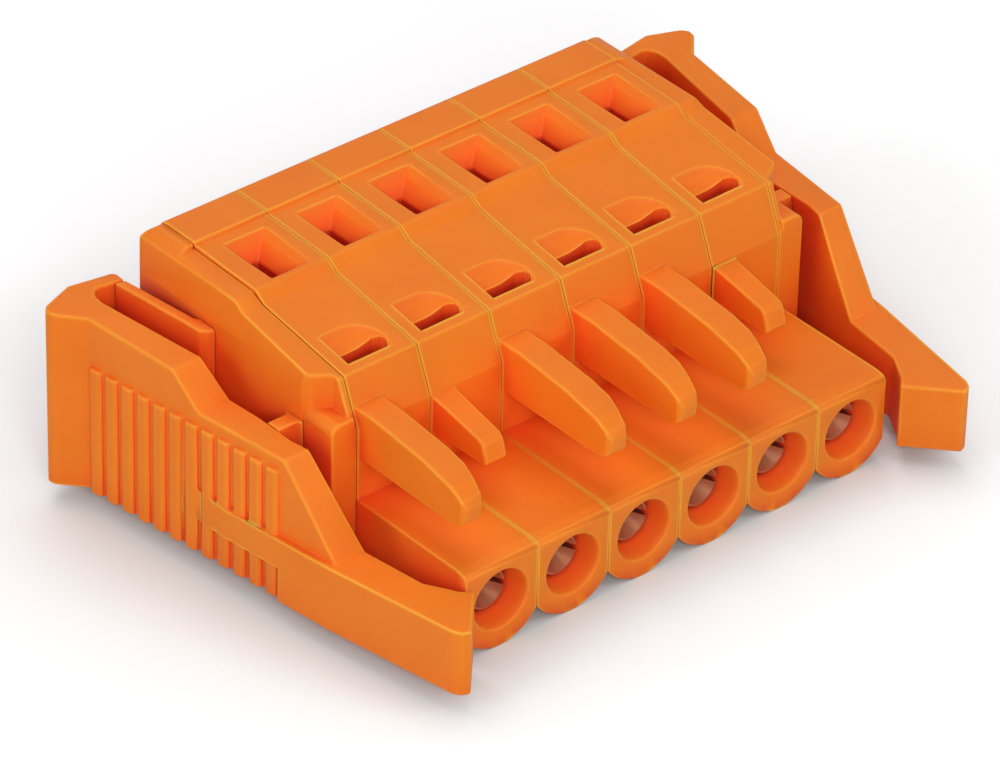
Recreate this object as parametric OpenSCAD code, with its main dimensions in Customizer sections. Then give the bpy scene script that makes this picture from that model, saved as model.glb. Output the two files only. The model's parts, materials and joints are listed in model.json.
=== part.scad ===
// Pluggable spring-clamp terminal block: six poles in a row between two end plates,
// each end with a side lever that locks the block on its header.
// Mating sleeves face -Y, conductor entries face +Y, tool funnels face +Z.

/* [Housing row] */
// Distance between the centres of neighbouring poles
pitch = 5.08; // [5.04:0.01:5.14]
// Air left at each seam between two modules
seam_gap = 0.02; // [0.02:0.01:0.1]
// Height of the marking strip above the rest plane
strip_z = 14.95; // [14.8:0.05:15.6]
// Depth from the sleeve mouths to the rear face
rear_y = 26.2; // [26:0.05:26.25]
// Radius along the rear top edge
rear_round = 0.6; // [0.2:0.1:1.2]
// Depth of the front wall behind the sleeve mouths
wall_y = 9.1; // [8.8:0.1:9.4]
// Height where the front wall starts to lean back
wall_break_z = 10.2; // [9.8:0.1:10.8]
// Depth of the top edge of the front wall
wall_top_y = 10.3; // [9.9:0.1:10.5]
// Height of the top edge of the front wall
wall_top_z = 13; // [12.8:0.1:13.3]
// Depth of the rear end of the ramp
ramp_top_y = 17.1; // [16.6:0.1:17.3]
// Height of the rear end of the ramp
ramp_top_z = 14.05; // [13.8:0.05:14.2]
// Depth of the ridge between ramp and terrace
ridge_y = 17.85; // [17.7:0.05:17.9]
// Height of the ridge between ramp and terrace
ridge_z = 14.6; // [14.4:0.05:14.7]
// Depth of the front edge of the marking strip
strip_front_y = 23.1; // [22.8:0.05:23.4]
// Height of the step in front of the marking strip
strip_step = 0.18; // [0.1:0.02:0.3]

/* [Nose and sleeves] */
// Outside radius of a mating sleeve
sleeve_radius = 3; // [2.8:0.05:3]
// Height of the sleeve axis above the rest plane
sleeve_axis_z = 3; // [3:0.05:3.1]
// Height of the flat top of the nose
ledge_z = 5.6; // [5.4:0.05:5.8]
// Depth of the rounding at the front top edge of the nose
nose_round_depth = 0.8; // [0.5:0.1:1.2]
// Drop of the rounding at the front top edge of the nose
nose_round_drop = 0.35; // [0.2:0.05:0.5]
// Radius of the sleeve mouth at its rim
mouth_radius = 1.87; // [1.75:0.01:2]
// Depth of the mouth funnel
mouth_depth = 1.5; // [1.2:0.1:1.8]
// Radius of the socket bore behind the mouth
bore_radius = 1.42; // [1.38:0.01:1.5]

/* [Coding fingers] */
// Distance from the seam to the side of a coding finger
finger_offset = 0.15; // [0.1:0.05:0.25]
// Width of a long coding finger
finger_width = 1.88; // [1.7:0.02:1.96]
// Width of a long coding finger at its tip
finger_tip_width = 1.4; // [1.2:0.05:1.6]
// Length of the tapered end of a long coding finger
finger_taper = 2.2; // [1.5:0.1:3]
// Depth of the tip of a long coding finger
finger_tip_y = 0.4; // [0.2:0.1:1]
// Height of the upper edge of a long finger at its tip
finger_tip_z = 10.05; // [9.8:0.05:10.2]
// Height of a long finger halfway along
finger_mid_z = 11; // [10.8:0.05:11.1]
// Height of a long finger near the front wall
finger_root_z = 11.35; // [11.2:0.05:11.5]
// Height of the underside of the coding fingers
finger_bottom_z = 8.2; // [8:0.1:8.4]
// Width of a short coding finger
short_width = 1.6; // [1.4:0.05:1.8]
// Depth of the tip of a short coding finger
short_tip_y = 4.9; // [4.6:0.1:5.4]
// Height of a short finger at its tip
short_tip_z = 9.3; // [9.1:0.1:9.6]
// Height of a short finger at the front wall
short_root_z = 10.15; // [9.8:0.05:10.2]
// Rise of the gusset above the root of a long finger
gusset_rise = 0.35; // [0.2:0.05:0.6]

/* [Funnels and ports] */
// Distance from the middle of the pole to the left edge of the tool funnel
funnel_left = 1.25; // [1.1:0.05:1.6]
// Distance from the middle of the pole to the right edge of the tool funnel
funnel_right = 1.65; // [1.4:0.05:1.75]
// Depth of the front edge of the tool funnel
funnel_front_y = 18.1; // [18.05:0.05:18.3]
// Depth of the rear edge of the tool funnel
funnel_rear_y = 22.2; // [22:0.05:22.4]
// Depth of the shallow rim of the tool funnel
funnel_rim = 0.35; // [0.25:0.05:0.5]
// Width of the shallow rim of the tool funnel
funnel_rim_width = 0.4; // [0.3:0.05:0.5]
// Height of the funnel throat below the terrace
funnel_drop = 1.45; // [1.2:0.05:1.8]
// Width of the slot below the tool funnel
tool_slot_width = 0.5; // [0.4:0.05:0.8]
// Distance from the middle of the pole to the middle of that slot
tool_slot_x = 0.3; // [0:0.05:0.4]
// Front edge of the slot below the tool funnel
tool_slot_front_y = 19.5; // [18.8:0.05:19.8]
// Rear edge of the slot below the tool funnel
tool_slot_rear_y = 21.45; // [21.2:0.05:21.7]
// Width of the test port at its rim
port_width = 3.4; // [3.2:0.05:3.5]
// Depth of the straight front edge of the test port
port_front_y = 10.95; // [10.9:0.05:11.1]
// Depth of the round rear edge of the test port
port_rear_y = 13.5; // [13.3:0.05:13.7]
// Radius of the sloped back of the test port
port_round = 2; // [1.8:0.05:2.1]
// Width of the hole below the test port
port_hole_width = 2.75; // [2.5:0.05:2.8]
// Depth of the hole below the test port
port_hole_depth = 1.35; // [1.2:0.05:1.5]
// Depth of the bowl of the test port
port_depth = 0.95; // [0.8:0.05:1.2]
// Radius of the conductor entry at the rear face
entry_rim_radius = 2; // [1.9:0.05:2.1]
// Radius of the conductor bore
entry_radius = 1.55; // [1.5:0.05:1.6]
// Depth of the conductor entry funnel
entry_funnel = 1.2; // [1:0.1:1.4]
// Height of the conductor bore above the rest plane
entry_z = 4.1; // [4:0.05:4.2]
// Height of the rear tool slot above the rest plane
rear_slot_z = 9.6; // [9.4:0.05:9.7]
// Height of the opening of the rear tool slot
rear_slot_height = 1.1; // [0.9:0.05:1.2]
// Width of the rear tool slot
rear_slot_width = 3; // [2.8:0.05:3.2]

/* [Chamber] */
// Width of the spring chamber of a module
chamber_width = 3.38; // [3.34:0.02:3.6]
// Front end of the spring chamber
chamber_front_y = 10.6; // [10.5:0.05:10.65]
// Rear end of the spring chamber
chamber_rear_y = 23.8; // [23.6:0.05:24.1]
// Floor of the spring chamber
chamber_floor_z = 1.2; // [1.1:0.05:1.25]
// Roof of the spring chamber
chamber_roof_z = 11.2; // [11.15:0.05:11.4]

/* [Contacts] */
// Outside radius of the contact socket
socket_radius = 1.22; // [1.16:0.01:1.26]
// Inside radius of the contact socket
socket_bore = 0.72; // [0.68:0.01:0.76]
// Depth of the socket mouth behind the sleeve mouth
socket_front_y = 1.2; // [1:0.1:1.8]
// Length of the lead-in of the contact socket
socket_lead = 0.9; // [0.7:0.1:1.1]
// Width of the edge that the lead-in leaves at the mouth of the socket
socket_edge = 0.1; // [0.06:0.01:0.15]
// Depth of the blind end of the socket bore
socket_end_y = 9.2; // [8.8:0.1:9.4]
// Width of the slits that make the socket springy
socket_slit = 0.35; // [0.25:0.05:0.4]
// Depth to which the socket is slit
socket_slit_end_y = 6.8; // [6:0.1:7.4]
// Thickness of the current bar
bar_thickness = 0.7; // [0.6:0.05:0.75]
// Width of the current bar
bar_width = 1.8; // [1.6:0.05:1.86]
// Height of the underside of the current bar
bar_z = 5.95; // [5.9:0.05:6]
// Rear end of the current bar
bar_end_y = 22.9; // [22.6:0.05:23]

/* [Clamp springs] */
// Thickness of the clamp strip
strip_thickness = 0.4; // [0.35:0.01:0.44]
// Width of the clamp strip
strip_width = 2.9; // [2.8:0.02:2.96]
// Outside radius of the front bend of the clamp
bend_radius = 1.7; // [1.66:0.01:1.72]
// Depth of the centre of the front bend
bend_y = 15.6; // [15.5:0.05:15.7]
// Air between the front bend and the current bar
bend_clearance = 0.05; // [0.03:0.01:0.08]
// Depth of the front side of the upright cage leg
cage_y = 21.5; // [21.4:0.05:21.6]
// Width of the window in the cage leg
window_width = 2.05; // [2:0.01:2.1]
// Height of the top edge of the cage window
window_top_z = 8.9; // [8.8:0.05:9]
// Height of the lower bar of the cage window
window_bar = 0.6; // [0.5:0.05:0.7]

/* [End plates] */
// Thickness of an end plate
plate_thickness = 1.76; // [1.66:0.01:1.84]
// Distance the upper front corner is set in from the outside
plate_set_in = 1.35; // [1.1:0.05:1.4]
// Depth of the step behind the upper front corner
plate_step_y = 11.3; // [11.1:0.05:11.5]
// Drop of the terrace of an end plate below that of the modules
plate_drop = 0.18; // [0.1:0.02:0.3]
// Height of the outer top edge of an end plate
plate_edge_z = 14.4; // [14.2:0.05:14.5]
// Distance the side of an end plate leans in at its top edge
plate_lean = 0.4; // [0.2:0.05:0.5]
// Height of the shoulder of the front flange
flange_z = 11; // [10.7:0.1:11.2]
// Radius of the outer shoulder of the front flange
flange_round = 0.6; // [0.4:0.05:0.8]

/* [Levers] */
// Height of the underside of the levers
lever_bottom_z = 1.2; // [1:0.1:1.4]
// Height of the rear end of the levers
lever_rear_z = 12.5; // [12.3:0.1:12.7]
// Height of the front edge of the high rear part
lever_high_z = 12.1; // [12:0.1:12.3]
// Height of the middle part of the levers
lever_mid_z = 10.2; // [9.9:0.1:10.5]
// Height of the front arm of the levers
arm_z = 5.3; // [5.1:0.1:5.5]
// Front end of the high rear part
lever_high_y = 17.6; // [17.4:0.1:18]
// Rear end of the middle part
lever_mid_rear_y = 15.6; // [15.4:0.1:15.8]
// Front end of the middle part
lever_mid_front_y = 9.3; // [9.1:0.1:9.5]
// Rear end of the low front arm
arm_rear_y = 5.5; // [5.2:0.1:5.8]
// Rear end of the levers
lever_rear_y = 27; // [26.9:0.05:27.3]
// Front end of the levers
hook_front_y = -3.6; // [-3.9:0.1:-3.5]
// Distance the rear end of a lever stands out from the end plate
lever_reach = 6.35; // [5.8:0.05:6.8]
// Distance the kink of the outer face stands out from the end plate
kink_reach = 4.95; // [4.6:0.05:5.2]
// Distance from the rear end of a lever to the kink of the outer face
kink_length = 3.1; // [2.8:0.1:3.4]
// Distance the outer face stands out from the end plate at the front end
arm_reach = 1.55; // [1.45:0.05:1.7]
// Distance the tip of the hook reaches in behind the outside of the end plate
hook_catch = 1.58; // [1.4:0.01:1.6]
// Thickness of the bow across the rear end of a lever
bow_thickness = 0.85; // [0.8:0.05:0.9]
// Distance from the end plate to the inner end of the bow
bow_reach = 1.1; // [1:0.05:1.2]
// Distance the inner end of the bow is set forward from the rear end of the lever
bow_set = 0.5; // [0.4:0.05:0.6]
// Thickness of the spring leaf
leaf_thickness = 0.65; // [0.6:0.01:0.72]
// Air between the spring leaf and the end plate
leaf_slot = 0.25; // [0.2:0.01:0.3]
// Air between the end of the leaf and the bow
leaf_gap = 0.07; // [0.06:0.01:0.1]
// Distance from the end plate to the pivot
pivot_reach = 2.25; // [2.1:0.01:2.4]
// Depth of the pivot
pivot_y = 12.2; // [12:0.05:12.4]
// Radius of the pivot knuckle
knuckle_radius = 0.72; // [0.68:0.01:0.74]
// Radial air round the pivot knuckle
pivot_clearance = 0.05; // [0.04:0.01:0.07]
// Air between the pivot web and the lever
web_clearance = 0.08; // [0.07:0.01:0.1]
// Thickness of the lever above the pivot knuckle
knuckle_cover = 0.4; // [0.3:0.05:0.6]
// Wall of a lever on the inner side of the pivot
pivot_inset = 0.65; // [0.6:0.01:0.68]
// Thickness of the pivot web
web_thickness = 0.95; // [0.85:0.05:1]
// Size of the fillet where webs and leaves leave the end plate
root_fillet = 0.3; // [0.2:0.05:0.4]
// Depth at which the spring leaf leaves the end plate
leaf_root_y = 19; // [18.8:0.1:19.4]
// Length of the root of the spring leaf
leaf_root_length = 1.3; // [1.1:0.1:1.5]
// Number of grip ribs on a lever
grip_count = 12; // [8:1:12]
// Distance between neighbouring grip ribs
grip_pitch = 1.2; // [1.1:0.01:1.22]
// Depth of the middle of the rearmost grip rib
grip_rear_y = 23.2; // [23:0.1:23.3]
// Width of a grip rib
grip_width = 0.88; // [0.6:0.02:0.9]
// Proudness of a grip rib
grip_proud = 0.28; // [0.2:0.02:0.36]
// Height of the upper end of the grip ribs
grip_top_z = 9.45; // [9.2:0.05:9.6]
// Proudness of the rail along the front arm
rail_proud = 0.45; // [0.4:0.05:0.55]
// Height of the underside of the rail
rail_bottom_z = 3.4; // [3:0.1:3.8]
// Length over which the rail runs out in a point
rail_point = 4; // [3:0.1:5]
// Depth of the pointed rear end of the rail
rail_rear_y = 17.2; // [16.8:0.1:17.5]

/* [Hidden] */
poles = 6;
curve_fn = 48;
fine_fn = 32;
eps = 0.01;
half_row = poles * pitch / 2;
module_width = pitch - seam_gap;
half_module = module_width / 2;
middle_y = (lever_rear_y + hook_front_y) / 2;
terrace_end_z = strip_z - strip_step;
bend_z = bar_z + bar_thickness + bend_clearance + bend_radius;
clamp_top_z = bend_z + bend_radius;
window_low_z = bar_z - bend_clearance;
plate_out_x = half_row + plate_thickness;
lever_spread = plate_out_x + lever_reach;
kink_x = plate_out_x + kink_reach;
kink_y = lever_rear_y - kink_length;
arm_front_x = plate_out_x + arm_reach;
hook_tip_x = plate_out_x - hook_catch;
pivot_x = plate_out_x + pivot_reach;
outer_slope = (kink_x - arm_front_x) / (kink_y - hook_front_y);
pocket_radius = knuckle_radius + pivot_clearance;
lever_inner_x = pivot_x - pivot_inset;
bow_end_x = plate_out_x + bow_reach;
bow_slope = 0.16;
bow_front_y = lever_rear_y - bow_set - bow_thickness;
orange = [0.9, 0.4, 0.13];
tin = [0.8, 0.79, 0.76];
steel = [0.62, 0.63, 0.65];

// Distance from the middle of the row to the centre of a pole
function pole_x(i) = (i - (poles - 1) / 2) * pitch;

// Distance from the middle of the block to the outer face of a lever at a depth
function outer_x(y) = arm_front_x + (y - hook_front_y) * outer_slope;

// Outline in depth and height, drawn out across the width from x0 to x1
module across(x0, x1) {
    translate([x0, 0, 0])
        rotate([90, 0, 90])
            linear_extrude(x1 - x0)
                children();
}

// Outline in width and height, drawn out along the depth from y0 to y1
module along(y0, y1) {
    translate([0, y1, 0])
        rotate([90, 0, 0])
            linear_extrude(y1 - y0)
                children();
}

// Outline seen from above, drawn out between two heights
module upright(z0, z1) {
    translate([0, 0, z0])
        linear_extrude(z1 - z0)
            children();
}

// Round cutter or post along the depth
module rod_y(y0, y1, z, r0, r1) {
    translate([0, y0, z])
        rotate([-90, 0, 0])
            cylinder(h = y1 - y0, r1 = r0, r2 = r1, $fn = curve_fn);
}

// Side outline shared by the modules and the end plates, which have a lower terrace
module body_outline(drop) {
    difference() {
        polygon([
            [wall_y, 0],
            [wall_y, wall_break_z],
            [wall_top_y, wall_top_z],
            [ramp_top_y, ramp_top_z],
            [ridge_y, ridge_z - drop],
            [strip_front_y, terrace_end_z - drop],
            [strip_front_y + 0.04, strip_z - drop / 2],
            [rear_y, strip_z - drop / 2],
            [rear_y, 0]
        ]);
        difference() {
            translate([rear_y - rear_round, strip_z - drop / 2 - rear_round])
                square(rear_round + 1);
            translate([rear_y - rear_round, strip_z - drop / 2 - rear_round])
                circle(r = rear_round, $fn = fine_fn);
        }
    }
}

// Side outline of the nose with its eased front top edge
module nose_outline() {
    polygon([
        [0, 0],
        [0, ledge_z - nose_round_drop],
        [nose_round_depth * 0.3, ledge_z - nose_round_drop * 0.3],
        [nose_round_depth, ledge_z],
        [wall_y + 0.5, ledge_z],
        [wall_y + 0.5, 0]
    ]);
}

module nose() {
    intersection() {
        along(0, wall_y + 0.5)
            intersection() {
                translate([-half_module, 0])
                    square([module_width, ledge_z]);
                union() {
                    translate([0, sleeve_axis_z])
                        circle(r = sleeve_radius, $fn = 96);
                    translate([-half_module, sleeve_axis_z])
                        square([module_width, ledge_z]);
                }
            }
        across(-half_module, half_module)
            nose_outline();
    }
}

module long_finger() {
    intersection() {
        across(-half_module, half_module)
            polygon([
                [wall_top_y, finger_bottom_z],
                [wall_top_y, finger_root_z + gusset_rise],
                [wall_top_y - 0.35, finger_root_z + gusset_rise],
                [wall_top_y - 0.35 - gusset_rise * 1.2, finger_root_z],
                [wall_y - 1.3, finger_root_z],
                [finger_tip_y + 3.6, finger_mid_z],
                [finger_tip_y + 1.2, finger_tip_z + 0.45],
                [finger_tip_y + 0.3, finger_tip_z],
                [finger_tip_y, finger_tip_z - 0.45],
                [finger_tip_y + 0.1, finger_bottom_z + 0.45],
                [finger_tip_y + 0.6, finger_bottom_z + 0.08],
                [finger_tip_y + 1.2, finger_bottom_z]
            ]);
        upright(finger_bottom_z - 1, strip_z)
            translate([finger_offset - pitch / 2, 0])
                polygon([
                    [0, wall_top_y],
                    [0, finger_tip_y + 0.3],
                    [0.2, finger_tip_y],
                    [finger_tip_width - 0.2, finger_tip_y],
                    [finger_tip_width, finger_tip_y + 0.3],
                    [finger_width, finger_tip_y + finger_taper],
                    [finger_width, wall_top_y]
                ]);
    }
}

module short_finger() {
    intersection() {
        across(-half_module, half_module)
            polygon([
                [wall_y + 0.4, finger_bottom_z - 0.35],
                [wall_y + 0.4, short_root_z],
                [short_tip_y + 0.3, short_tip_z + 0.05],
                [short_tip_y, short_tip_z - 0.2],
                [short_tip_y - 0.35, finger_bottom_z - 0.1],
                [short_tip_y - 0.15, finger_bottom_z - 0.35]
            ]);
        upright(finger_bottom_z - 1, strip_z)
            translate([finger_offset - pitch / 2, 0])
                polygon([
                    [0, wall_top_y],
                    [0, short_tip_y - 1],
                    [short_width - 0.15, short_tip_y - 1],
                    [short_width, wall_y],
                    [short_width, wall_top_y]
                ]);
    }
}

// Square funnel for the tool and the slot that goes on into the chamber
module tool_funnel() {
    throat_z = terrace_end_z - funnel_drop;
    intersection() {
        along(funnel_front_y - 1, funnel_rear_y + 1)
            polygon([
                [-funnel_left - 0.25, strip_z + 0.5],
                [-funnel_left, terrace_end_z - 0.1],
                [funnel_rim_width - funnel_left, terrace_end_z - funnel_rim - 0.1],
                [tool_slot_x - tool_slot_width / 2, throat_z],
                [tool_slot_x + tool_slot_width / 2, throat_z],
                [funnel_right - funnel_rim_width, terrace_end_z - funnel_rim - 0.1],
                [funnel_right, terrace_end_z - 0.1],
                [funnel_right + 0.25, strip_z + 0.5]
            ]);
        across(-half_module, half_module)
            polygon([
                [funnel_front_y, strip_z + 0.5],
                [funnel_front_y, terrace_end_z - 0.1],
                [tool_slot_front_y, throat_z],
                [tool_slot_rear_y, throat_z],
                [funnel_rear_y - funnel_rim_width / 2, terrace_end_z - funnel_rim - 0.1],
                [funnel_rear_y, terrace_end_z - 0.1],
                [funnel_rear_y, strip_z + 0.5]
            ]);
    }
    translate([tool_slot_x - tool_slot_width / 2, tool_slot_front_y, chamber_roof_z - 1])
        cube([tool_slot_width, tool_slot_rear_y - tool_slot_front_y, throat_z - chamber_roof_z + 1 + eps]);
}

// Outline of the bowl of the test port, from its lowest point to above the rim
module port_profile() {
    polygon([
        [0, -port_depth],
        [port_round * 0.4, -port_depth * 0.92],
        [port_round * 0.68, -port_depth * 0.68],
        [port_round * 0.87, -port_depth * 0.37],
        [port_round, 0],
        [port_round * 1.1, port_depth * 0.7],
        [0, port_depth * 0.7]
    ]);
}

// Scooped test port: a bowl at the back and a hole at the straight front edge
module test_port() {
    rim_z = wall_top_z + (port_rear_y - wall_top_y) * (ramp_top_z - wall_top_z) / (ramp_top_y - wall_top_y);
    left_x = -port_width / 2;
    bowl_x = port_width / 2 - port_round;
    bowl_y = port_rear_y - port_round;
    hole_left_x = left_x + (port_width - port_hole_width) / 2;
    hole_round = port_hole_depth / 2;
    intersection() {
        translate([bowl_x, bowl_y, rim_z])
            rotate_extrude($fn = curve_fn)
                port_profile();
        translate([left_x, port_front_y, chamber_roof_z])
            cube([port_width, port_rear_y, strip_z]);
    }
    intersection() {
        across(left_x, bowl_x)
            translate([bowl_y, rim_z])
                port_profile();
        translate([left_x, port_front_y, chamber_roof_z])
            cube([port_width, port_rear_y, strip_z]);
    }
    upright(chamber_roof_z - 1, strip_z) {
        translate([hole_left_x, port_front_y])
            square([port_hole_width - hole_round, port_hole_depth]);
        translate([hole_left_x + port_hole_width - hole_round, port_front_y + hole_round])
            circle(r = hole_round, $fn = fine_fn);
    }
}

module chamber() {
    translate([-chamber_width / 2, chamber_front_y, chamber_floor_z])
        cube([chamber_width, chamber_rear_y - chamber_front_y, chamber_roof_z - chamber_floor_z]);
}

module sleeve_bore() {
    rod_y(-eps, mouth_depth, sleeve_axis_z, mouth_radius, bore_radius);
    rod_y(mouth_depth - eps, chamber_front_y + eps, sleeve_axis_z, bore_radius, bore_radius);
}

module rear_openings() {
    rod_y(rear_y - entry_funnel, rear_y + eps, entry_z, entry_radius, entry_rim_radius);
    rod_y(chamber_rear_y - eps, rear_y, entry_z, entry_radius, entry_radius);
    translate([-rear_slot_width / 2, chamber_rear_y - eps, rear_slot_z])
        cube([rear_slot_width, rear_y, rear_slot_height]);
}

module housing(i) {
    color(orange)
        translate([pole_x(i), -middle_y, 0])
            difference() {
                union() {
                    across(-half_module, half_module)
                        body_outline(0);
                    nose();
                    if (i == 1 || i == 5) short_finger();
                    else long_finger();
                }
                sleeve_bore();
                chamber();
                tool_funnel();
                test_port();
                rear_openings();
            }
}

// Slit socket, riser and current bar in one stamped piece
module contact(i) {
    color(tin)
        translate([pole_x(i), -middle_y, 0]) {
            difference() {
                rod_y(socket_front_y, chamber_front_y + 0.15, sleeve_axis_z, socket_radius, socket_radius);
                rod_y(socket_front_y, socket_front_y + socket_lead, sleeve_axis_z, socket_radius - socket_edge, socket_bore);
                rod_y(socket_front_y + eps, socket_end_y, sleeve_axis_z, socket_bore, socket_bore);
                translate([-bore_radius, socket_front_y - eps, sleeve_axis_z - socket_slit / 2])
                    cube([2 * bore_radius, socket_slit_end_y - socket_front_y, socket_slit]);
            }
            translate([-bar_width / 2, chamber_front_y + 0.1, sleeve_axis_z - 1])
                cube([bar_width, bar_thickness, bar_z + bar_thickness - sleeve_axis_z + 1]);
            translate([-bar_width / 2, chamber_front_y + 0.1, bar_z])
                cube([bar_width, bar_end_y - chamber_front_y - 0.1, bar_thickness]);
        }
}

// Bent strip: front bend, top leg and upright leg with the cage window
module clamp(i) {
    color(steel)
        translate([pole_x(i), -middle_y, 0])
            difference() {
                across(-strip_width / 2, strip_width / 2)
                    union() {
                        difference() {
                            translate([bend_y, bend_z])
                                circle(r = bend_radius, $fn = curve_fn);
                            translate([bend_y, bend_z])
                                circle(r = bend_radius - strip_thickness, $fn = curve_fn);
                            polygon([
                                [bend_y, bend_z + 3],
                                [bend_y, bend_z],
                                [bend_y + 2, bend_z - 1.2],
                                [bend_y + 3, bend_z + 3]
                            ]);
                        }
                        translate([bend_y - eps, clamp_top_z - strip_thickness])
                            square([cage_y - bend_y + 0.02, strip_thickness]);
                        translate([cage_y, window_low_z - window_bar])
                            square([strip_thickness, clamp_top_z - window_low_z + window_bar]);
                    }
                translate([-window_width / 2, cage_y - 1, window_low_z])
                    cube([window_width, 2, window_top_z - window_low_z]);
            }
}

// Plan of the end plate above the flange, right side
module plate_plan() {
    polygon([
        [half_row + seam_gap / 2, wall_y],
        [plate_out_x - plate_set_in, wall_y],
        [plate_out_x - plate_set_in, plate_step_y - 0.6],
        [plate_out_x - 0.3, plate_step_y],
        [plate_out_x, plate_step_y + 0.35],
        [plate_out_x, rear_y - 0.5],
        [plate_out_x - 0.4, rear_y],
        [half_row + seam_gap / 2, rear_y]
    ]);
}

// Front view of the end plate: its top falls away to the outside
module plate_front() {
    polygon([
        [half_row, 0],
        [half_row, strip_z + 1],
        [half_row + 0.25, strip_z],
        [plate_out_x - plate_lean, plate_edge_z],
        [plate_out_x, lever_rear_z],
        [plate_out_x, 0]
    ]);
}

module end_plate() {
    color(orange)
        translate([0, -middle_y, 0]) {
            intersection() {
                across(half_row, plate_out_x)
                    body_outline(plate_drop);
                upright(-1, strip_z + 1)
                    plate_plan();
                along(wall_y, rear_y)
                    plate_front();
            }
            along(wall_y, plate_step_y + 0.2)
                difference() {
                    translate([half_row + 0.2, 0])
                        square([plate_thickness - 0.2, flange_z]);
                    difference() {
                        translate([plate_out_x - flange_round, flange_z - flange_round])
                            square(flange_round + 1);
                        translate([plate_out_x - flange_round, flange_z - flange_round])
                            circle(r = flange_round, $fn = fine_fn);
                    }
                }
        }
}

// Heights of a lever and its leaf along the depth
module lever_side() {
    polygon([
        [hook_front_y, lever_bottom_z],
        [hook_front_y, arm_z],
        [arm_rear_y, arm_z],
        [lever_mid_front_y, lever_mid_z],
        [lever_mid_rear_y, lever_mid_z],
        [lever_high_y, lever_high_z],
        [lever_rear_y, lever_rear_z],
        [lever_rear_y, lever_bottom_z]
    ]);
}

// Plan of the right lever: hook, arm, grip and rear bow
module lever_plan() {
    polygon([
        [hook_tip_x, -0.95],
        [hook_tip_x + 0.6, -0.35],
        [hook_tip_x + 1, 0.35],
        [plate_out_x + 0.05, 1.4],
        [plate_out_x + 0.6, arm_rear_y],
        [lever_inner_x - 0.2, lever_mid_front_y],
        [lever_inner_x, lever_mid_front_y + 1.2],
        [lever_inner_x, pivot_y + 1.2],
        [lever_inner_x + 0.15, lever_mid_rear_y],
        [lever_inner_x + 0.65, lever_high_y + 0.4],
        [lever_inner_x + 1.75, bow_front_y - 1],
        [lever_inner_x + 1.7, bow_front_y - 0.3],
        [lever_inner_x + 1.45, bow_front_y + 0.1],
        [bow_end_x + 1.6, bow_front_y + 1.6 * bow_slope],
        [bow_end_x, bow_front_y],
        [bow_end_x, bow_front_y + bow_thickness - 0.15],
        [bow_end_x + 0.2, bow_front_y + bow_thickness + 0.05],
        [bow_end_x + 1.4, lever_rear_y - 0.25],
        [lever_spread - 2.4, lever_rear_y],
        [lever_spread - 0.35, lever_rear_y - 0.75],
        [lever_spread, lever_rear_y - 1.15],
        [lever_spread - 0.1, lever_rear_y - 1.65],
        [kink_x, kink_y],
        [outer_x(hook_front_y + 0.7), hook_front_y + 0.7],
        [arm_front_x - 0.2, hook_front_y + 0.2],
        [arm_front_x - 0.7, hook_front_y]
    ]);
}

// Plan of the rail: it stands proud of the arm and runs out in a point
module rail_plan() {
    polygon([
        [outer_x(hook_front_y + 0.7) - 0.8, hook_front_y + 0.7],
        [outer_x(hook_front_y + 0.7), hook_front_y + 0.7],
        [outer_x(arm_rear_y) + rail_proud, arm_rear_y],
        [outer_x(rail_rear_y - rail_point) + rail_proud, rail_rear_y - rail_point],
        [outer_x(rail_rear_y), rail_rear_y],
        [outer_x(rail_rear_y) - 0.5, rail_rear_y],
        [outer_x(arm_rear_y) - 0.8, arm_rear_y]
    ]);
}

// Plan of the grip ribs, each with eased edges
module grip_plan() {
    for (k = [0 : grip_count - 1]) {
        rib_y = grip_rear_y - k * grip_pitch;
        low_y = rib_y - grip_width / 2;
        high_y = rib_y + grip_width / 2;
        polygon([
            [outer_x(low_y) - 0.3, low_y],
            [outer_x(low_y) + grip_proud * 0.5, low_y],
            [outer_x(low_y + 0.16) + grip_proud, low_y + 0.16],
            [outer_x(high_y - 0.16) + grip_proud, high_y - 0.16],
            [outer_x(high_y) + grip_proud * 0.5, high_y],
            [outer_x(high_y) - 0.3, high_y]
        ]);
    }
}

// Blind pocket for the pivot knuckle, with a mouth for the web
module knuckle_pocket() {
    translate([pivot_x, pivot_y, 0])
        cylinder(h = lever_mid_z - knuckle_cover, r = pocket_radius, $fn = curve_fn);
    translate([plate_out_x, pivot_y - web_thickness / 2 - web_clearance, 0])
        cube([pivot_reach, web_thickness + 2 * web_clearance, lever_mid_z - knuckle_cover]);
}

module lever() {
    color(orange)
        translate([0, -middle_y, 0])
            difference() {
                union() {
                    intersection() {
                        upright(lever_bottom_z, lever_rear_z)
                            lever_plan();
                        across(hook_tip_x - 1, lever_spread + 1)
                            lever_side();
                    }
                    upright(lever_bottom_z, grip_top_z)
                        grip_plan();
                    upright(rail_bottom_z, arm_z)
                        rail_plan();
                    upright(lever_bottom_z, arm_z)
                        intersection() {
                            rail_plan();
                            translate([hook_tip_x, hook_front_y])
                                square([lever_spread - hook_tip_x, lever_mid_front_y - hook_front_y]);
                        }
                }
                knuckle_pocket();
            }
}

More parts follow.
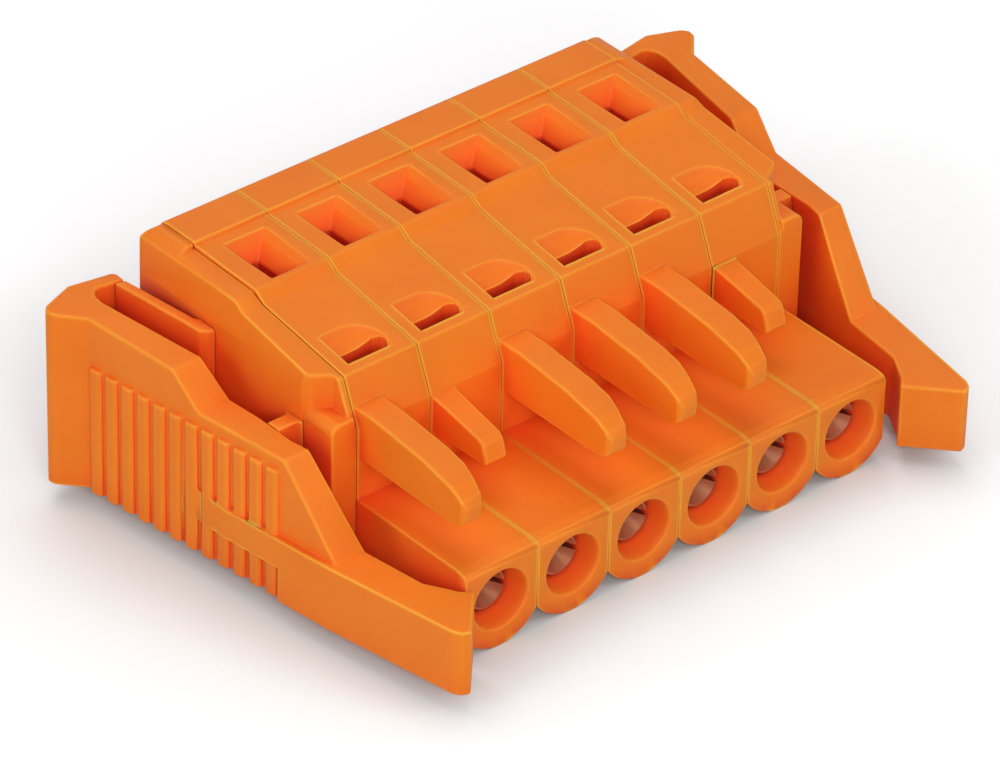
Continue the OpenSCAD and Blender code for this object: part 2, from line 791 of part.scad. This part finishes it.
// Spring leaf: from the end plate back to the bow of the lever
module leaf() {
    inner_x = plate_out_x + leaf_slot;
    end_x = bow_end_x - 0.02;
    end_y = bow_front_y - leaf_gap;
    color(orange)
        translate([0, -middle_y, 0])
            intersection() {
                upright(lever_bottom_z, lever_rear_z)
                    polygon([
                        [plate_out_x, leaf_root_y],
                        [plate_out_x + root_fillet * 1.5, leaf_root_y + root_fillet / 2],
                        [inner_x + leaf_thickness - root_fillet / 3, leaf_root_y + root_fillet * 1.5],
                        [inner_x + leaf_thickness, leaf_root_y + leaf_root_length],
                        [end_x + leaf_thickness, end_y + leaf_thickness * bow_slope],
                        [end_x, end_y],
                        [inner_x, leaf_root_y + leaf_root_length + root_fillet],
                        [plate_out_x, leaf_root_y + leaf_root_length]
                    ]);
                across(plate_out_x - leaf_thickness, lever_spread)
                    lever_side();
            }
}

// Pivot web: rooted on the end plate, with a round knuckle in the lever
module web() {
    neck_x = lever_inner_x - pivot_clearance;
    knuckle_top_z = lever_mid_z - knuckle_cover - pivot_clearance;
    color(orange)
        translate([0, -middle_y, 0]) {
            upright(lever_bottom_z, lever_mid_z)
                polygon([
                    [plate_out_x, pivot_y - web_thickness / 2 - root_fillet],
                    [plate_out_x + root_fillet, pivot_y - web_thickness / 2],
                    [neck_x, pivot_y - web_thickness / 2],
                    [neck_x, pivot_y + web_thickness / 2],
                    [plate_out_x + root_fillet, pivot_y + web_thickness / 2],
                    [plate_out_x, pivot_y + web_thickness / 2 + root_fillet]
                ]);
            upright(lever_bottom_z, knuckle_top_z) {
                translate([neck_x - root_fillet, pivot_y - web_thickness / 2])
                    square([pivot_x - neck_x + root_fillet, web_thickness]);
                translate([pivot_x, pivot_y])
                    circle(r = knuckle_radius, $fn = curve_fn);
            }
        }
}

housing(0);  // housing_1
housing(1);  // housing_2
housing(2);  // housing_3
housing(3);  // housing_4
housing(4);  // housing_5
housing(5);  // housing_6
contact(0);  // contact_1
contact(1);  // contact_2
contact(2);  // contact_3
contact(3);  // contact_4
contact(4);  // contact_5
contact(5);  // contact_6
clamp(0);  // clamp_1
clamp(1);  // clamp_2
clamp(2);  // clamp_3
clamp(3);  // clamp_4
clamp(4);  // clamp_5
clamp(5);  // clamp_6
mirror([1, 0, 0]) end_plate();  // end_plate_left
end_plate();  // end_plate_right
mirror([1, 0, 0]) lever();  // lever_left
lever();  // lever_right
mirror([1, 0, 0]) leaf();  // leaf_left
leaf();  // leaf_right
mirror([1, 0, 0]) web();  // web_left
web();  // web_right
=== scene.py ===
"""Looks of the pluggable terminal block: moulded orange plastic, tin and spring steel."""
import json
import math

import bpy
import bmesh
from mathutils import Matrix, Vector


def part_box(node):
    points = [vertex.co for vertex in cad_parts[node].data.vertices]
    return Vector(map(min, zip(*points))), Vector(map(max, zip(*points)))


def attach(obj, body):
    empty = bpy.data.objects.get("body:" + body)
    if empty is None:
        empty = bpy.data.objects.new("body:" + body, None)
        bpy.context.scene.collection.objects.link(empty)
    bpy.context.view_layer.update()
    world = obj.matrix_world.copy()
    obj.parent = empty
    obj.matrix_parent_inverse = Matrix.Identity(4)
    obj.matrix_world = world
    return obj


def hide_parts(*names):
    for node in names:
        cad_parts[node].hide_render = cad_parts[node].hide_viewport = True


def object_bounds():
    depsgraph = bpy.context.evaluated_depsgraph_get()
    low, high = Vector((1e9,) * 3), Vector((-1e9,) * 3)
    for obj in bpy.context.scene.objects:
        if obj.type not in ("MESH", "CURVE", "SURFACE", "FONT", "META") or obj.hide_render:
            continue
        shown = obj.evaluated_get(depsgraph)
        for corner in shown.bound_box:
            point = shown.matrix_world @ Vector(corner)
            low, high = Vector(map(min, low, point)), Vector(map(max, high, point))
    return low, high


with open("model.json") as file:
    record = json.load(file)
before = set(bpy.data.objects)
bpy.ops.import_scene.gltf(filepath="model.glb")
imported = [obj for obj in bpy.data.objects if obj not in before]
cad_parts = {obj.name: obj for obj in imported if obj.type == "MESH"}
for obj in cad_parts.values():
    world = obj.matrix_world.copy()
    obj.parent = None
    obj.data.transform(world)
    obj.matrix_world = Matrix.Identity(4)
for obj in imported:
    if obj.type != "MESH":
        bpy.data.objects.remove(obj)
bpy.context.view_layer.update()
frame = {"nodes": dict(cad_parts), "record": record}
floor_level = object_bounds()[0][2]
scene = bpy.context.scene


def middle(node):
    """Centre of a CAD node's box."""
    a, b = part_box(node)
    return (Vector(a) + Vector(b)) / 2


PITCH = middle("housing_2").x - middle("housing_1").x
# The end plates start level with the front wall of the modules
WALL_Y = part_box("end_plate_right")[0][1]
# Height of the flat top of the sleeve blocks, below the coding fingers
NOSE_TOP_Z = 0.0056

# ---------------------------------------------------------------- materials

# Places of the colour sockets on a Mix node, which has several sockets of one name
MIX_FACTOR, MIX_FIRST_COLOUR, MIX_SECOND_COLOUR, MIX_COLOUR_OUT = 0, 6, 7, 2
NEARNESS_RAYS = 4

PALE_ORANGE, FULL_ORANGE = (0.91, 0.232, 0.016), (0.87, 0.205, 0.013)
# Painted highlight: a paler yellow laid on rims and edges where light would catch them
RIM_HIGHLIGHT_YELLOW = (0.97, 0.450, 0.045)
# Painted shade: a redder colour laid in recesses and between parts, where shade falls
RECESS_SHADE_RED = (0.97, 0.075, 0.014)
# Painted shade: a dark red laid in the deepest wells, where little light reaches
WELL_SHADE_RED = (0.55, 0.030, 0.016)
TIN, TIN_ROUGHNESS = (0.54, 0.25, 0.15), 0.45
STEEL, STEEL_ROUGHNESS = (0.62, 0.63, 0.65), 0.30

def new_material(name):
    """An empty material with a Principled shader at its output."""
    mat = bpy.data.materials.new(name)
    mat.use_nodes = True
    tree = mat.node_tree
    tree.nodes.clear()
    out = tree.nodes.new("ShaderNodeOutputMaterial")
    bsdf = tree.nodes.new("ShaderNodeBsdfPrincipled")
    tree.links.new(bsdf.outputs["BSDF"], out.inputs["Surface"])
    return mat, tree, bsdf


def noise(tree, scale, detail, rough):
    """Noise in object space."""
    coord = tree.nodes.new("ShaderNodeTexCoord")
    node = tree.nodes.new("ShaderNodeTexNoise")
    node.inputs["Scale"].default_value = scale
    node.inputs["Detail"].default_value = detail
    node.inputs["Roughness"].default_value = rough
    tree.links.new(coord.outputs["Object"], node.inputs["Vector"])
    return node


def ramp(tree, source, stops):
    """Colours along a value."""
    node = tree.nodes.new("ShaderNodeValToRGB")
    cr = node.color_ramp
    while len(cr.elements) < len(stops):
        cr.elements.new(0.5)
    for e, (p, c) in zip(cr.elements, stops):
        e.position = p
        e.color = (*c, 1.0)
    tree.links.new(source, node.inputs["Fac"])
    return node


def closeness(tree, reach, inside, none, full):
    """How near other surfaces are: in the open air for a recess, inside the wall for a rim.

    The share is 0 where the openness is at least none, and 1 where it is down to full.
    """
    near = tree.nodes.new("ShaderNodeAmbientOcclusion")
    near.samples = NEARNESS_RAYS
    near.only_local = inside
    near.inside = inside
    near.inputs["Distance"].default_value = reach
    level = tree.nodes.new("ShaderNodeMapRange")
    level.inputs["From Min"].default_value = none
    level.inputs["From Max"].default_value = full
    tree.links.new(near.outputs["AO"], level.inputs["Value"])
    return level.outputs["Result"]


def blend(tree, share, first, colour):
    """First colour where the share is none, the written colour where it is full."""
    mix = tree.nodes.new("ShaderNodeMix")
    mix.data_type = "RGBA"
    tree.links.new(share, mix.inputs[MIX_FACTOR])
    tree.links.new(first, mix.inputs[MIX_FIRST_COLOUR])
    mix.inputs[MIX_SECOND_COLOUR].default_value = (*colour, 1.0)
    return mix.outputs[MIX_COLOUR_OUT]


def orange_plastic():
    """Satin polyamide: faint mottling, a fine spark-eroded grain, some light let in.

    It has a painted highlight that makes it paler along rims, and painted shade that makes it
    redder in recesses and dark in the deepest wells.
    """
    mat, tree, bsdf = new_material("moulded_orange")
    patch = noise(tree, 260.0, 4.0, 0.55)
    base = ramp(tree, patch.outputs["Fac"], [(0.3, FULL_ORANGE), (0.7, PALE_ORANGE)])
    # Painted highlight: where the wall is thin, along rims and edges, the colour turns paler
    # yellow in place of light caught on the edges
    rim = closeness(tree, 0.00018, True, 0.96, 0.70)
    light = blend(tree, rim, base.outputs["Color"], RIM_HIGHLIGHT_YELLOW)
    # Painted shade: where other surfaces are near, in recesses and between parts, the colour
    # turns redder in place of shade
    recess_shade_share = closeness(tree, 0.0036, False, 0.84, 0.26)
    with_recess_shade = blend(tree, recess_shade_share, light, RECESS_SHADE_RED)
    # Painted shade: the deepest wells are made dark red in place of shade
    well_shade_share = closeness(tree, 0.0024, False, 0.50, 0.12)
    dark = blend(tree, well_shade_share, with_recess_shade, WELL_SHADE_RED)
    tree.links.new(dark, bsdf.inputs["Base Color"])
    gloss = noise(tree, 900.0, 3.0, 0.6)
    spread = tree.nodes.new("ShaderNodeMapRange")
    spread.inputs["To Min"].default_value = 0.46
    spread.inputs["To Max"].default_value = 0.56
    tree.links.new(gloss.outputs["Fac"], spread.inputs["Value"])
    tree.links.new(spread.outputs["Result"], bsdf.inputs["Roughness"])
    bsdf.inputs["IOR"].default_value = 1.5
    bsdf.inputs["Specular IOR Level"].default_value = 0.2
    bsdf.inputs["Subsurface Weight"].default_value = 0.4
    bsdf.inputs["Subsurface Radius"].default_value = (1.0, 0.22, 0.05)
    bsdf.inputs["Subsurface Scale"].default_value = 0.001
    fine = noise(tree, 5200.0, 2.0, 0.6)
    bump = tree.nodes.new("ShaderNodeBump")
    bump.inputs["Strength"].default_value = 0.12
    bump.inputs["Distance"].default_value = 0.00004
    tree.links.new(fine.outputs["Fac"], bump.inputs["Height"])
    tree.links.new(bump.outputs["Normal"], bsdf.inputs["Normal"])
    return mat


def metal(name, colour, rough, scale):
    """Rolled strip with a grain that runs along the depth."""
    mat, tree, bsdf = new_material(name)
    coord = tree.nodes.new("ShaderNodeTexCoord")
    mapping = tree.nodes.new("ShaderNodeMapping")
    stretched = scale * 0.06
    mapping.inputs["Scale"].default_value = (scale, stretched, scale)
    grain = tree.nodes.new("ShaderNodeTexNoise")
    grain.inputs["Scale"].default_value = 1.0
    grain.inputs["Detail"].default_value = 3.0
    tree.links.new(coord.outputs["Object"], mapping.inputs["Vector"])
    tree.links.new(mapping.outputs["Vector"], grain.inputs["Vector"])
    dark = tuple(c * 0.86 for c in colour)
    base = ramp(tree, grain.outputs["Fac"], [(0.35, dark), (0.65, colour)])
    tree.links.new(base.outputs["Color"], bsdf.inputs["Base Color"])
    bsdf.inputs["Metallic"].default_value = 1.0
    bsdf.inputs["Roughness"].default_value = rough
    return mat


orange = orange_plastic()
tin = metal("tin_plate", TIN, TIN_ROUGHNESS, 4000.0)
steel = metal("spring_strip", STEEL, STEEL_ROUGHNESS, 5000.0)

for name, obj in frame["nodes"].items():
    if name.startswith("contact"):
        mat = tin
    elif name.startswith("clamp"):
        mat = steel
    else:
        mat = orange
    for s in obj.material_slots:
        s.material = mat
    if not obj.material_slots:
        obj.data.materials.append(mat)

# ---------------------------------------------------------------- eased edges

# Edges that turn by more than this are sharp
CREASE = math.radians(13)
# Width of the rounding at a share of 1, and the shares that edges get
EASE = 0.00030
PLAIN_SHARE = 0.4
SEAM_SHARE = 0.16
LEAST_SHARE = 0.04
# Share of an edge's length that the rounding of the edge beside it may take
ROOM_SHARE = 0.42
STRAIGHT_ON = math.radians(150)
SAME_RUN = math.radians(140)
RUN_PASSES = 6
# Clean-up of the CAD mesh: points this near are one, faces this flat are one
MERGE = 0.00006
COPLANAR = math.radians(0.15)
# No rounding on edges this low, so that the block keeps its flat foot
GROUND_Z = 0.0002
# Beside a face this large, a small turn is shaded as a sharp edge
FLAT_AREA = 5e-6
FLAT_TURN = math.radians(0.4)
# Tolerances for an edge's place: near a line, and behind the foot of the wall
NEAR = 0.0003
WALL_FOOT = 0.0006
# The test ports' edges lie between these depths behind the wall
PORT_FROM, PORT_TO = 0.0004, 0.0055


def at_seam(x):
    """True on a plane where two modules meet."""
    return abs(x / PITCH - round(x / PITCH)) < 0.01


def edge_share(name, edge):
    """How much of the full rounding an edge may get: little at seams, none on sleeve tops."""
    a, b = edge.verts[0].co, edge.verts[1].co
    if not name.startswith("housing"):
        return PLAIN_SHARE
    if in_port(edge):
        return 0.0
    level = max(abs(a.z - NOSE_TOP_Z), abs(b.z - NOSE_TOP_Z)) < NEAR
    on_nose_top = level and max(a.y, b.y) < WALL_Y + WALL_FOOT
    if at_seam(a.x) and at_seam(b.x):
        return 0.0 if on_nose_top else SEAM_SHARE
    return PLAIN_SHARE


def in_port(edge):
    """True inside a module's sloped top, where only the test port has edges."""
    a, b = edge.verts[0].co, edge.verts[1].co
    aside = min(abs(v.x / PITCH - round(v.x / PITCH)) for v in (a, b)) * PITCH
    behind = min(a.y, b.y) > WALL_Y + PORT_FROM and max(a.y, b.y) < WALL_Y + PORT_TO
    return aside > NEAR and behind and min(a.z, b.z) > NOSE_TOP_Z


def heading(edge, vertex):
    """Direction of an edge away from one of its ends."""
    return (edge.other_vert(vertex).co - vertex.co).normalized()


def room(edge, creased):
    """Widest rounding an edge can take before it runs into the edges beside it."""
    least = EASE
    for v in edge.verts:
        along = heading(edge, v)
        for f in edge.link_faces:
            for g in v.link_edges:
                if g is edge or f not in g.link_faces:
                    continue
                turn = along.angle(heading(g, v), 0.0)
                free = ROOM_SHARE * g.calc_length()
                if g in creased:
                    least = min(least, free * max(math.tan(turn / 2), 0.0))
                elif turn < STRAIGHT_ON:
                    least = min(least, free * max(math.sin(turn), 0.05))
    return least


def rounding(name, bm):
    """Share of the full rounding for each sharp edge, even along every run of edges."""
    paired = (e for e in bm.edges if len(e.link_faces) == 2)
    creased = {e for e in paired if e.calc_face_angle(0.0) > CREASE}
    share = {e: min(edge_share(name, e), room(e, creased) / EASE) for e in creased}
    for _ in range(RUN_PASSES):
        for e in creased:
            for v in e.verts:
                along = heading(e, v)
                for g in v.link_edges:
                    if g is e or g not in creased:
                        continue
                    if along.angle(heading(g, v), 0.0) > SAME_RUN:
                        share[e] = share[g] = min(share[e], share[g])
    return share


def eased(name):
    """A copy of a moulded piece with rounded edges, which stands for the CAD node."""
    mesh = frame["nodes"][name].data.copy()
    mesh.name = name + "_eased"
    obj = bpy.data.objects.new(name + "_eased", mesh)
    scene.collection.objects.link(obj)
    bm = bmesh.new()
    bm.from_mesh(mesh)
    bmesh.ops.remove_doubles(bm, verts=bm.verts, dist=MERGE)
    bmesh.ops.dissolve_degenerate(bm, edges=bm.edges, dist=MERGE)
    bmesh.ops.dissolve_limit(bm, angle_limit=COPLANAR, verts=bm.verts, edges=bm.edges)
    weight = bm.edges.layers.float.new("bevel_weight_edge")
    for e, share in rounding(name, bm).items():
        off_ground = max(v.co.z for v in e.verts) > GROUND_Z
        e[weight] = share if share > LEAST_SHARE and off_ground else 0.0
    for f in bm.faces:
        f.smooth = True
    for e in bm.edges:
        turn = e.calc_face_angle(0.0)
        beside_flat = any(f.calc_area() > FLAT_AREA for f in e.link_faces)
        e.smooth = e[weight] > 0 or turn < (FLAT_TURN if beside_flat else CREASE)
    bm.to_mesh(mesh)
    bm.free()
    bev = obj.modifiers.new("ease", "BEVEL")
    bev.width = EASE
    bev.segments = 2
    bev.limit_method = "WEIGHT"
    bev.use_clamp_overlap = False
    cut = obj.modifiers.new("triangles", "TRIANGULATE")
    cut.min_vertices = 5
    even = obj.modifiers.new("even", "WEIGHTED_NORMAL")
    even.mode = "FACE_AREA"
    even.weight = 50
    even.keep_sharp = True
    mesh.materials.clear()
    mesh.materials.append(orange)
    return obj


bodies = frame["record"]["behaviour"]["bodies"]
body_of = {node: body for body, nodes in bodies.items() for node in nodes}

for name in list(frame["nodes"]):
    if name.startswith(("contact", "clamp")):
        continue
    piece = eased(name)
    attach(piece, body_of[name])
    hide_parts(name)

# ---------------------------------------------------------------- floor, light, camera


def aimed(back, roll=0.0):
    """Rotation of a lamp or camera whose back looks along a direction, with its right and up."""
    right = Vector((0, 0, 1)).cross(back).normalized()
    up = back.cross(right)
    r = math.cos(roll) * right + math.sin(roll) * up
    u = -math.sin(roll) * right + math.cos(roll) * up
    return Matrix((r, u, back)).transposed().to_quaternion(), r, u


def calculate(tree, operation, first, second):
    """A Math node on two values; the second may be a plain number."""
    node = tree.nodes.new("ShaderNodeMath")
    node.operation = operation
    tree.links.new(first, node.inputs[0])
    if isinstance(second, float):
        node.inputs[1].default_value = second
    else:
        tree.links.new(second, node.inputs[1])
    return node.outputs["Value"]


def seen_directly(tree):
    """1 for what the camera sees, straight, in gloss or through glass; 0 for other light."""
    rays = tree.nodes.new("ShaderNodeLightPath").outputs
    seen = calculate(tree, "MAXIMUM", rays["Is Camera Ray"], rays["Is Glossy Ray"])
    return calculate(tree, "MAXIMUM", seen, rays["Is Transmission Ray"])


FLOOR_HALF = 2
FLOOR_GAP = 0.00002
SHADOW_REACH = 0.020
SHADOW_RAYS = 6
SHADOW_POWER = 1.5


def paper_floor(reflectance, lift):
    """Pale paper: it takes the shadow, and is lifted to white where it is seen directly.

    The lift fades near the block, which deepens the soft shadow there.
    """
    mat = bpy.data.materials.new("paper")
    mat.use_nodes = True
    tree = mat.node_tree
    tree.nodes.clear()
    out = tree.nodes.new("ShaderNodeOutputMaterial")
    diffuse = tree.nodes.new("ShaderNodeBsdfDiffuse")
    diffuse.inputs["Color"].default_value = (*reflectance, 1)
    glow = tree.nodes.new("ShaderNodeEmission")
    glow.inputs["Color"].default_value = (1, 1, 1, 1)
    open_air = tree.nodes.new("ShaderNodeAmbientOcclusion")
    open_air.samples = SHADOW_RAYS
    open_air.inputs["Distance"].default_value = SHADOW_REACH
    amount = calculate(tree, "MULTIPLY", seen_directly(tree), lift)
    shade = calculate(tree, "POWER", open_air.outputs["AO"], SHADOW_POWER)
    kept = calculate(tree, "MULTIPLY", amount, shade)
    tree.links.new(kept, glow.inputs["Strength"])
    both = tree.nodes.new("ShaderNodeAddShader")
    tree.links.new(diffuse.outputs["BSDF"], both.inputs[0])
    tree.links.new(glow.outputs["Emission"], both.inputs[1])
    tree.links.new(both.outputs["Shader"], out.inputs["Surface"])
    return mat


floor_mesh = bpy.data.meshes.new("floor")
corners = [(-1, -1), (1, -1), (1, 1), (-1, 1)]
corners = [(x * FLOOR_HALF, y * FLOOR_HALF, 0) for x, y in corners]
floor_mesh.from_pydata(corners, [], [(0, 1, 2, 3)])
floor = bpy.data.objects.new("floor", floor_mesh)
scene.collection.objects.link(floor)
floor.location.z = floor_level - FLOOR_GAP
floor_mesh.materials.append(paper_floor((0.62, 0.645, 0.66), 0.54))


def studio_world(fill):
    """A white room where it is seen directly, and a weaker even fill as light."""
    world = bpy.data.worlds.new("studio")
    world.use_nodes = True
    tree = world.node_tree
    tree.nodes.clear()
    out = tree.nodes.new("ShaderNodeOutputWorld")
    back = tree.nodes.new("ShaderNodeBackground")
    back.inputs["Color"].default_value = (1, 1, 1, 1)
    level = tree.nodes.new("ShaderNodeMapRange")
    level.inputs["To Min"].default_value = fill
    level.inputs["To Max"].default_value = 1.0
    tree.links.new(seen_directly(tree), level.inputs["Value"])
    tree.links.new(level.outputs["Result"], back.inputs["Strength"])
    tree.links.new(back.outputs["Background"], out.inputs["Surface"])
    return world


scene.world = studio_world(0.14)


def away(azimuth, elevation):
    """Direction from the block to a lamp or camera; azimuth 0 is in front of it."""
    a, e = math.radians(azimuth), math.radians(elevation)
    return Vector((math.sin(a) * math.cos(e), -math.cos(a) * math.cos(e), math.sin(e)))


LAMP_AIM = Vector((0, 0, 0.006))


def softbox(name, azimuth, elevation, distance, size, power, colour=(1, 1, 1)):
    """A square lamp that looks at the middle of the block, placed as a camera would be."""
    back = away(azimuth, elevation)
    data = bpy.data.lights.new(name, "AREA")
    data.shape = "SQUARE"
    data.size = size
    data.energy = power
    data.color = colour
    obj = bpy.data.objects.new(name, data)
    scene.collection.objects.link(obj)
    obj.location = back * distance + LAMP_AIM
    obj.rotation_mode = "QUATERNION"
    obj.rotation_quaternion = aimed(back)[0]


softbox("key", -34, 30, 0.42, 0.14, 0.88, (0.92, 1.0, 0.90))
softbox("overhead", 168, 68, 0.40, 0.26, 0.54, (1.0, 0.84, 0.86))
softbox("left", -95, 25, 0.42, 0.20, 0.42)
softbox("right", 35, 35, 0.42, 0.20, 0.38)

AZIMUTH, ELEVATION, ROLL = -41.268, 34.399, math.radians(1.494)
# The camera's focal length in pixels of the picture's width, and its distance from the block
FOCAL_PX, PICTURE_WIDTH, DISTANCE = 6919.29, 1000, 0.38506
SENSOR_WIDTH = 36.0
AIM = Vector((0, 0.000175, 0))
ASIDE, ABOVE = -0.001976, 0.004065
back = away(AZIMUTH, ELEVATION)
turn, r, u = aimed(back, ROLL)
cam_data = bpy.data.cameras.new("camera")
cam = bpy.data.objects.new("camera", cam_data)
scene.collection.objects.link(cam)
cam.location = AIM + back * DISTANCE + r * ASIDE + u * ABOVE
cam.rotation_mode = "QUATERNION"
cam.rotation_quaternion = turn
cam_data.sensor_width = SENSOR_WIDTH
cam_data.lens = FOCAL_PX / PICTURE_WIDTH * SENSOR_WIDTH
cam_data.clip_start, cam_data.clip_end = 0.01, 10
scene.camera = cam
scene.view_settings.view_transform = "Standard"
